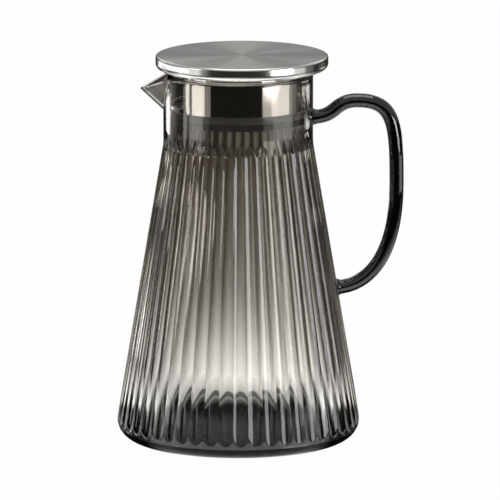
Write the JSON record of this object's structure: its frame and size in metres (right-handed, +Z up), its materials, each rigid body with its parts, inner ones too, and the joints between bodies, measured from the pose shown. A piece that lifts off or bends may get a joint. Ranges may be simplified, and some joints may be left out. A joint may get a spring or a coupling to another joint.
{
  "type": "lidded jug",
  "caption": "Tapered fluted jug of smoke-tinted clear plastic with a V spout, a loop handle and a lift-off steel lid whose strainer collar seals in the neck.",
  "frame": {"origin": "on the jug's axis, at the middle of the flat face it stands on", "axes": "+Z up along the jug's axis, +X towards the handle, -X towards the spout"},
  "size_m": [0.177, 0.1498, 0.24],
  "materials": {
    "smoke_polycarbonate": "clear gloss polycarbonate with a warm grey smoke tint",
    "dark_smoke_polycarbonate": "gloss polycarbonate with a dense smoke tint",
    "brushed_steel": "stainless steel, spun brushing on the top, polished at the rim",
    "polished_steel": "polished stainless steel",
    "silicone": "satin dark grey silicone"
  },
  "bodies": {
    "jug": {"jug_body": "smoke_polycarbonate", "base_disc": "smoke_polycarbonate", "handle": "dark_smoke_polycarbonate"},
    "lid_seal": {"seal_ring": "silicone"},
    "lid": {"strainer_collar": "polished_steel", "lid_base_plate": "polished_steel", "lid_cover": "brushed_steel"}
  },
  "joints": [
    {"name": "lid_lift", "type": "slide", "parent": "jug", "child": "lid_seal", "axis": [0, 0, 1], "range_m": [0, 0.12]},
    {"name": "lid_turn", "type": "hinge", "parent": "lid_seal", "child": "lid", "pos_m": [0, 0, 0.2033], "axis": [0, 0, 1], "continuous": true}
  ]
}
